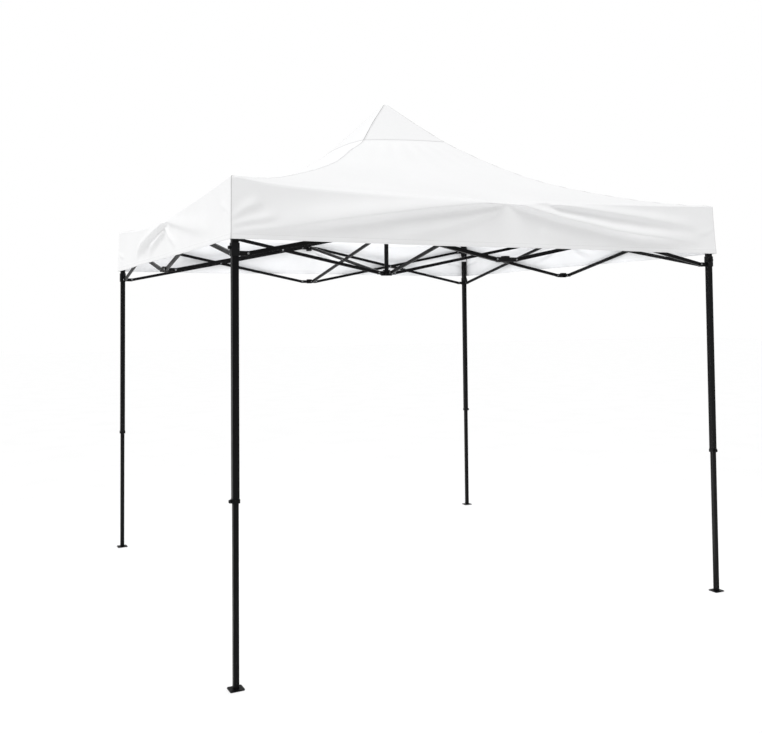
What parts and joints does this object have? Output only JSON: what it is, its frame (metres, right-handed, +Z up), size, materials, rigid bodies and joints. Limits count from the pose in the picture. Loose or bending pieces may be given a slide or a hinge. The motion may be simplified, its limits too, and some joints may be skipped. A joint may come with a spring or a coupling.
{
  "type": "pop up canopy",
  "caption": "Square pop-up canopy with a peaked white fabric roof and valance on a folding black scissor-truss frame with telescopic legs.",
  "frame": {"origin": "on the ground at the centre of the square between the legs", "axes": "+Z up, -Y towards the front side, +X to the right seen from the front"},
  "size_m": [2.966, 2.966, 3.0698],
  "materials": {
    "roof_fabric": "woven polyester, matt",
    "frame_black": "satin powder coat",
    "bracket_black": "moulded, fine grain",
    "knob_black": "moulded, smooth"
  },
  "bodies": {
    "roof_and_upper_hub": {"hub_upper": "bracket_black", "roof_cover": "roof_fabric"},
    "front_spoke_top": {"front_spoke_top": "frame_black"},
    "front_spoke_bottom": {"front_spoke_bottom": "frame_black"},
    "front_mid_lower": {"front_mid_bracket_lower": "bracket_black"},
    "front_mid_upper": {"front_mid_bracket_upper": "bracket_black"},
    "front_left_top_bar": {"front_bar_left_top": "frame_black"},
    "front_left_slider_bar": {"front_bar_left_slider": "frame_black"},
    "front_right_top_bar": {"front_bar_right_top": "frame_black"},
    "front_right_slider_bar": {"front_bar_right_slider": "frame_black"},
    "right_spoke_top": {"right_spoke_top": "frame_black"},
    "right_spoke_bottom": {"right_spoke_bottom": "frame_black"},
    "right_mid_lower": {"right_mid_bracket_lower": "bracket_black"},
    "right_mid_upper": {"right_mid_bracket_upper": "bracket_black"},
    "right_left_top_bar": {"right_bar_left_top": "frame_black"},
    "right_left_slider_bar": {"right_bar_left_slider": "frame_black"},
    "right_right_top_bar": {"right_bar_right_top": "frame_black"},
    "right_right_slider_bar": {"right_bar_right_slider": "frame_black"},
    "back_spoke_top": {"back_spoke_top": "frame_black"},
    "back_spoke_bottom": {"back_spoke_bottom": "frame_black"},
    "back_mid_lower": {"back_mid_bracket_lower": "bracket_black"},
    "back_mid_upper": {"back_mid_bracket_upper": "bracket_black"},
    "back_left_top_bar": {"back_bar_left_top": "frame_black"},
    "back_left_slider_bar": {"back_bar_left_slider": "frame_black"},
    "back_right_top_bar": {"back_bar_right_top": "frame_black"},
    "back_right_slider_bar": {"back_bar_right_slider": "frame_black"},
    "left_spoke_top": {"left_spoke_top": "frame_black"},
    "left_spoke_bottom": {"left_spoke_bottom": "frame_black"},
    "left_mid_lower": {"left_mid_bracket_lower": "bracket_black"},
    "left_mid_upper": {"left_mid_bracket_upper": "bracket_black"},
    "left_left_top_bar": {"left_bar_left_top": "frame_black"},
    "left_left_slider_bar": {"left_bar_left_slider": "frame_black"},
    "left_right_top_bar": {"left_bar_right_top": "frame_black"},
    "left_right_slider_bar": {"left_bar_right_slider": "frame_black"},
    "front_left_leg": {"front_left_leg_outer": "frame_black", "front_left_leg_top_bracket": "bracket_black"},
    "front_left_inner_leg": {"front_left_leg_inner": "frame_black"},
    "front_left_slider": {"front_left_slider": "bracket_black"},
    "front_left_slider_knob": {"front_left_slider_knob": "knob_black"},
    "front_left_lock_knob": {"front_left_leg_lock_knob": "knob_black"},
    "front_right_leg": {"front_right_leg_outer": "frame_black", "front_right_leg_top_bracket": "bracket_black"},
    "front_right_inner_leg": {"front_right_leg_inner": "frame_black"},
    "front_right_slider": {"front_right_slider": "bracket_black"},
    "front_right_slider_knob": {"front_right_slider_knob": "knob_black"},
    "front_right_lock_knob": {"front_right_leg_lock_knob": "knob_black"},
    "back_right_leg": {"back_right_leg_outer": "frame_black", "back_right_leg_top_bracket": "bracket_black"},
    "back_right_inner_leg": {"back_right_leg_inner": "frame_black"},
    "back_right_slider": {"back_right_slider": "bracket_black"},
    "back_right_slider_knob": {"back_right_slider_knob": "knob_black"},
    "back_right_lock_knob": {"back_right_leg_lock_knob": "knob_black"},
    "back_left_leg": {"back_left_leg_outer": "frame_black", "back_left_leg_top_bracket": "bracket_black"},
    "back_left_inner_leg": {"back_left_leg_inner": "frame_black"},
    "back_left_slider": {"back_left_slider": "bracket_black"},
    "back_left_slider_knob": {"back_left_slider_knob": "knob_black"},
    "back_left_lock_knob": {"back_left_leg_lock_knob": "knob_black"},
    "lower_hub_and_mast": {"hub_lower_with_mast": "frame_black"},
    "inner_mast": {"mast_inner_with_cap": "frame_black"}
  },
  "joints": [
    {"name": "frame_fold", "type": "hinge", "parent": "roof_and_upper_hub", "child": "front_spoke_top", "pos_m": [0, -0.062, 2.205], "axis": [1, 0, 0], "range_deg": [0, 76.5]},
    {"name": "front_mid_lower_pivot", "type": "hinge", "parent": "front_spoke_top", "child": "front_mid_lower", "pos_m": [0, -1.39, 1.935], "axis": [-1, 0, 0], "range_deg": [0, 76.5]},
    {"name": "front_spoke_cross", "type": "hinge", "parent": "front_spoke_top", "child": "front_spoke_bottom", "pos_m": [0, -0.726, 2.07], "axis": [-1, 0, 0], "range_deg": [0, 153]},
    {"name": "front_mid_upper_pivot", "type": "hinge", "parent": "front_spoke_bottom", "child": "front_mid_upper", "pos_m": [0, -1.39, 2.205], "axis": [1, 0, 0], "range_deg": [0, 76.5]},
    {"name": "lower_hub_pivot", "type": "hinge", "parent": "front_spoke_bottom", "child": "lower_hub_and_mast", "pos_m": [0, -0.062, 1.935], "axis": [1, 0, 0], "range_deg": [0, 76.5]},
    {"name": "front_left_bar_pivot", "type": "hinge", "parent": "front_mid_lower", "child": "front_left_top_bar", "pos_m": [-0.06, -1.45, 1.935], "axis": [0, 1, 0], "range_deg": [0, 76.5]},
    {"name": "front_right_bar_pivot", "type": "hinge", "parent": "front_mid_lower", "child": "front_right_top_bar", "pos_m": [0.06, -1.45, 1.935], "axis": [0, -1, 0], "range_deg": [0, 76.5]},
    {"name": "front_left_leg_pivot", "type": "hinge", "parent": "front_left_top_bar", "child": "front_left_leg", "pos_m": [-1.388, -1.45, 2.205], "axis": [0, -1, 0], "range_deg": [0, 76.5]},
    {"name": "front_left_cross", "type": "hinge", "parent": "front_left_top_bar", "child": "front_left_slider_bar", "pos_m": [-0.724, -1.45, 2.07], "axis": [0, -1, 0], "range_deg": [0, 153]},
    {"name": "front_right_cross", "type": "hinge", "parent": "front_right_top_bar", "child": "front_right_slider_bar", "pos_m": [0.724, -1.45, 2.07], "axis": [0, 1, 0], "range_deg": [0, 153]},
    {"name": "front_left_slider_pivot", "type": "hinge", "parent": "front_left_slider_bar", "child": "front_left_slider", "pos_m": [-1.388, -1.45, 1.935], "axis": [0, 1, 0], "range_deg": [0, 76.5]},
    {"name": "right_spoke_fold", "type": "hinge", "parent": "roof_and_upper_hub", "child": "right_spoke_top", "pos_m": [0.062, 0, 2.205], "axis": [0, 1, 0], "range_deg": [0, 76.5]},
    {"name": "right_mid_lower_pivot", "type": "hinge", "parent": "right_spoke_top", "child": "right_mid_lower", "pos_m": [1.39, 0, 1.935], "axis": [0, -1, 0], "range_deg": [0, 76.5]},
    {"name": "right_spoke_cross", "type": "hinge", "parent": "right_spoke_top", "child": "right_spoke_bottom", "pos_m": [0.726, 0, 2.07], "axis": [0, -1, 0], "range_deg": [0, 153]},
    {"name": "right_mid_upper_pivot", "type": "hinge", "parent": "right_spoke_bottom", "child": "right_mid_upper", "pos_m": [1.39, 0, 2.205], "axis": [0, 1, 0], "range_deg": [0, 76.5]},
    {"name": "right_left_bar_pivot", "type": "hinge", "parent": "right_mid_lower", "child": "right_left_top_bar", "pos_m": [1.45, -0.06, 1.935], "axis": [-1, 0, 0], "range_deg": [0, 76.5]},
    {"name": "right_right_bar_pivot", "type": "hinge", "parent": "right_mid_lower", "child": "right_right_top_bar", "pos_m": [1.45, 0.06, 1.935], "axis": [1, 0, 0], "range_deg": [0, 76.5]},
    {"name": "front_right_leg_pivot", "type": "hinge", "parent": "right_left_top_bar", "child": "front_right_leg", "pos_m": [1.45, -1.388, 2.205], "axis": [1, 0, 0], "range_deg": [0, 76.5]},
    {"name": "right_left_cross", "type": "hinge", "parent": "right_left_top_bar", "child": "right_left_slider_bar", "pos_m": [1.45, -0.724, 2.07], "axis": [1, 0, 0], "range_deg": [0, 153]},
    {"name": "right_right_cross", "type": "hinge", "parent": "right_right_top_bar", "child": "right_right_slider_bar", "pos_m": [1.45, 0.724, 2.07], "axis": [-1, 0, 0], "range_deg": [0, 153]},
    {"name": "front_right_slider_pivot", "type": "hinge", "parent": "right_left_slider_bar", "child": "front_right_slider", "pos_m": [1.45, -1.388, 1.935], "axis": [-1, 0, 0], "range_deg": [0, 76.5]},
    {"name": "back_spoke_fold", "type": "hinge", "parent": "roof_and_upper_hub", "child": "back_spoke_top", "pos_m": [0, 0.062, 2.205], "axis": [-1, 0, 0], "range_deg": [0, 76.5]},
    {"name": "back_mid_lower_pivot", "type": "hinge", "parent": "back_spoke_top", "child": "back_mid_lower", "pos_m": [0, 1.39, 1.935], "axis": [1, 0, 0], "range_deg": [0, 76.5]},
    {"name": "back_spoke_cross", "type": "hinge", "parent": "back_spoke_top", "child": "back_spoke_bottom", "pos_m": [0, 0.726, 2.07], "axis": [1, 0, 0], "range_deg": [0, 153]},
    {"name": "back_mid_upper_pivot", "type": "hinge", "parent": "back_spoke_bottom", "child": "back_mid_upper", "pos_m": [0, 1.39, 2.205], "axis": [-1, 0, 0], "range_deg": [0, 76.5]},
    {"name": "back_left_bar_pivot", "type": "hinge", "parent": "back_mid_lower", "child": "back_left_top_bar", "pos_m": [0.06, 1.45, 1.935], "axis": [0, -1, 0], "range_deg": [0, 76.5]},
    {"name": "back_right_bar_pivot", "type": "hinge", "parent": "back_mid_lower", "child": "back_right_top_bar", "pos_m": [-0.06, 1.45, 1.935], "axis": [0, 1, 0], "range_deg": [0, 76.5]},
    {"name": "back_right_leg_pivot", "type": "hinge", "parent": "back_left_top_bar", "child": "back_right_leg", "pos_m": [1.388, 1.45, 2.205], "axis": [0, 1, 0], "range_deg": [0, 76.5]},
    {"name": "back_left_cross", "type": "hinge", "parent": "back_left_top_bar", "child": "back_left_slider_bar", "pos_m": [0.724, 1.45, 2.07], "axis": [0, 1, 0], "range_deg": [0, 153]},
    {"name": "back_right_cross", "type": "hinge", "parent": "back_right_top_bar", "child": "back_right_slider_bar", "pos_m": [-0.724, 1.45, 2.07], "axis": [0, -1, 0], "range_deg": [0, 153]},
    {"name": "back_right_slider_pivot", "type": "hinge", "parent": "back_left_slider_bar", "child": "back_right_slider", "pos_m": [1.388, 1.45, 1.935], "axis": [0, -1, 0], "range_deg": [0, 76.5]},
    {"name": "left_spoke_fold", "type": "hinge", "parent": "roof_and_upper_hub", "child": "left_spoke_top", "pos_m": [-0.062, 0, 2.205], "axis": [0, -1, 0], "range_deg": [0, 76.5]},
    {"name": "left_mid_lower_pivot", "type": "hinge", "parent": "left_spoke_top", "child": "left_mid_lower", "pos_m": [-1.39, 0, 1.935], "axis": [0, 1, 0], "range_deg": [0, 76.5]},
    {"name": "left_spoke_cross", "type": "hinge", "parent": "left_spoke_top", "child": "left_spoke_bottom", "pos_m": [-0.726, 0, 2.07], "axis": [0, 1, 0], "range_deg": [0, 153]},
    {"name": "left_mid_upper_pivot", "type": "hinge", "parent": "left_spoke_bottom", "child": "left_mid_upper", "pos_m": [-1.39, 0, 2.205], "axis": [0, -1, 0], "range_deg": [0, 76.5]},
    {"name": "left_left_bar_pivot", "type": "hinge", "parent": "left_mid_lower", "child": "left_left_top_bar", "pos_m": [-1.45, 0.06, 1.935], "axis": [1, 0, 0], "range_deg": [0, 76.5]},
    {"name": "left_right_bar_pivot", "type": "hinge", "parent": "left_mid_lower", "child": "left_right_top_bar", "pos_m": [-1.45, -0.06, 1.935], "axis": [-1, 0, 0], "range_deg": [0, 76.5]},
    {"name": "back_left_leg_pivot", "type": "hinge", "parent": "left_left_top_bar", "child": "back_left_leg", "pos_m": [-1.45, 1.388, 2.205], "axis": [-1, 0, 0], "range_deg": [0, 76.5]},
    {"name": "left_left_cross", "type": "hinge", "parent": "left_left_top_bar", "child": "left_left_slider_bar", "pos_m": [-1.45, 0.724, 2.07], "axis": [-1, 0, 0], "range_deg": [0, 153]},
    {"name": "left_right_cross", "type": "hinge", "parent": "left_right_top_bar", "child": "left_right_slider_bar", "pos_m": [-1.45, -0.724, 2.07], "axis": [1, 0, 0], "range_deg": [0, 153]},
    {"name": "back_left_slider_pivot", "type": "hinge", "parent": "left_left_slider_bar", "child": "back_left_slider", "pos_m": [-1.45, 1.388, 1.935], "axis": [1, 0, 0], "range_deg": [0, 76.5]},
    {"name": "mast_extend", "type": "slide", "parent": "lower_hub_and_mast", "child": "inner_mast", "axis": [0, 0, 1], "range_m": [0, 0.33]},
    {"name": "front_left_leg_height", "type": "slide", "parent": "front_left_leg", "child": "front_left_inner_leg", "axis": [0, 0, 1], "range_m": [0, 0.78]},
    {"name": "front_left_slider_pull", "type": "slide", "parent": "front_left_slider", "child": "front_left_slider_knob", "axis": [-1, 0, 0], "range_m": [0, 0.008], "stiffness_N_per_m": 500},
    {"name": "front_left_lock_pull", "type": "slide", "parent": "front_left_leg", "child": "front_left_lock_knob", "axis": [-1, 0, 0], "range_m": [0, 0.008], "stiffness_N_per_m": 500},
    {"name": "front_right_leg_height", "type": "slide", "parent": "front_right_leg", "child": "front_right_inner_leg", "axis": [0, 0, 1], "range_m": [0, 0.78]},
    {"name": "front_right_slider_pull", "type": "slide", "parent": "front_right_slider", "child": "front_right_slider_knob", "axis": [0, -1, 0], "range_m": [0, 0.008], "stiffness_N_per_m": 500},
    {"name": "front_right_lock_pull", "type": "slide", "parent": "front_right_leg", "child": "front_right_lock_knob", "axis": [0, -1, 0], "range_m": [0, 0.008], "stiffness_N_per_m": 500},
    {"name": "back_right_leg_height", "type": "slide", "parent": "back_right_leg", "child": "back_right_inner_leg", "axis": [0, 0, 1], "range_m": [0, 0.78]},
    {"name": "back_right_slider_pull", "type": "slide", "parent": "back_right_slider", "child": "back_right_slider_knob", "axis": [1, 0, 0], "range_m": [0, 0.008], "stiffness_N_per_m": 500},
    {"name": "back_right_lock_pull", "type": "slide", "parent": "back_right_leg", "child": "back_right_lock_knob", "axis": [1, 0, 0], "range_m": [0, 0.008], "stiffness_N_per_m": 500},
    {"name": "back_left_leg_height", "type": "slide", "parent": "back_left_leg", "child": "back_left_inner_leg", "axis": [0, 0, 1], "range_m": [0, 0.78]},
    {"name": "back_left_slider_pull", "type": "slide", "parent": "back_left_slider", "child": "back_left_slider_knob", "axis": [0, 1, 0], "range_m": [0, 0.008], "stiffness_N_per_m": 500},
    {"name": "back_left_lock_pull", "type": "slide", "parent": "back_left_leg", "child": "back_left_lock_knob", "axis": [0, 1, 0], "range_m": [0, 0.008], "stiffness_N_per_m": 500}
  ],
  "couplings": [
    {"joint": "front_mid_lower_pivot", "follows": "frame_fold", "ratio": 1},
    {"joint": "front_spoke_cross", "follows": "frame_fold", "ratio": 2},
    {"joint": "front_mid_upper_pivot", "follows": "frame_fold", "ratio": 1},
    {"joint": "lower_hub_pivot", "follows": "frame_fold", "ratio": 1},
    {"joint": "front_left_bar_pivot", "follows": "frame_fold", "ratio": 1},
    {"joint": "front_right_bar_pivot", "follows": "frame_fold", "ratio": 1},
    {"joint": "front_left_leg_pivot", "follows": "frame_fold", "ratio": 1},
    {"joint": "front_left_cross", "follows": "frame_fold", "ratio": 2},
    {"joint": "front_right_cross", "follows": "frame_fold", "ratio": 2},
    {"joint": "front_left_slider_pivot", "follows": "frame_fold", "ratio": 1},
    {"joint": "right_spoke_fold", "follows": "frame_fold", "ratio": 1},
    {"joint": "right_mid_lower_pivot", "follows": "frame_fold", "ratio": 1},
    {"joint": "right_spoke_cross", "follows": "frame_fold", "ratio": 2},
    {"joint": "right_mid_upper_pivot", "follows": "frame_fold", "ratio": 1},
    {"joint": "right_left_bar_pivot", "follows": "frame_fold", "ratio": 1},
    {"joint": "right_right_bar_pivot", "follows": "frame_fold", "ratio": 1},
    {"joint": "front_right_leg_pivot", "follows": "frame_fold", "ratio": 1},
    {"joint": "right_left_cross", "follows": "frame_fold", "ratio": 2},
    {"joint": "right_right_cross", "follows": "frame_fold", "ratio": 2},
    {"joint": "front_right_slider_pivot", "follows": "frame_fold", "ratio": 1},
    {"joint": "back_spoke_fold", "follows": "frame_fold", "ratio": 1},
    {"joint": "back_mid_lower_pivot", "follows": "frame_fold", "ratio": 1},
    {"joint": "back_spoke_cross", "follows": "frame_fold", "ratio": 2},
    {"joint": "back_mid_upper_pivot", "follows": "frame_fold", "ratio": 1},
    {"joint": "back_left_bar_pivot", "follows": "frame_fold", "ratio": 1},
    {"joint": "back_right_bar_pivot", "follows": "frame_fold", "ratio": 1},
    {"joint": "back_right_leg_pivot", "follows": "frame_fold", "ratio": 1},
    {"joint": "back_left_cross", "follows": "frame_fold", "ratio": 2},
    {"joint": "back_right_cross", "follows": "frame_fold", "ratio": 2},
    {"joint": "back_right_slider_pivot", "follows": "frame_fold", "ratio": 1},
    {"joint": "left_spoke_fold", "follows": "frame_fold", "ratio": 1},
    {"joint": "left_mid_lower_pivot", "follows": "frame_fold", "ratio": 1},
    {"joint": "left_spoke_cross", "follows": "frame_fold", "ratio": 2},
    {"joint": "left_mid_upper_pivot", "follows": "frame_fold", "ratio": 1},
    {"joint": "left_left_bar_pivot", "follows": "frame_fold", "ratio": 1},
    {"joint": "left_right_bar_pivot", "follows": "frame_fold", "ratio": 1},
    {"joint": "back_left_leg_pivot", "follows": "frame_fold", "ratio": 1},
    {"joint": "left_left_cross", "follows": "frame_fold", "ratio": 2},
    {"joint": "left_right_cross", "follows": "frame_fold", "ratio": 2},
    {"joint": "back_left_slider_pivot", "follows": "frame_fold", "ratio": 1},
    {"joint": "mast_extend", "follows": "frame_fold", "m_per_rad": 0.24716}
  ]
}
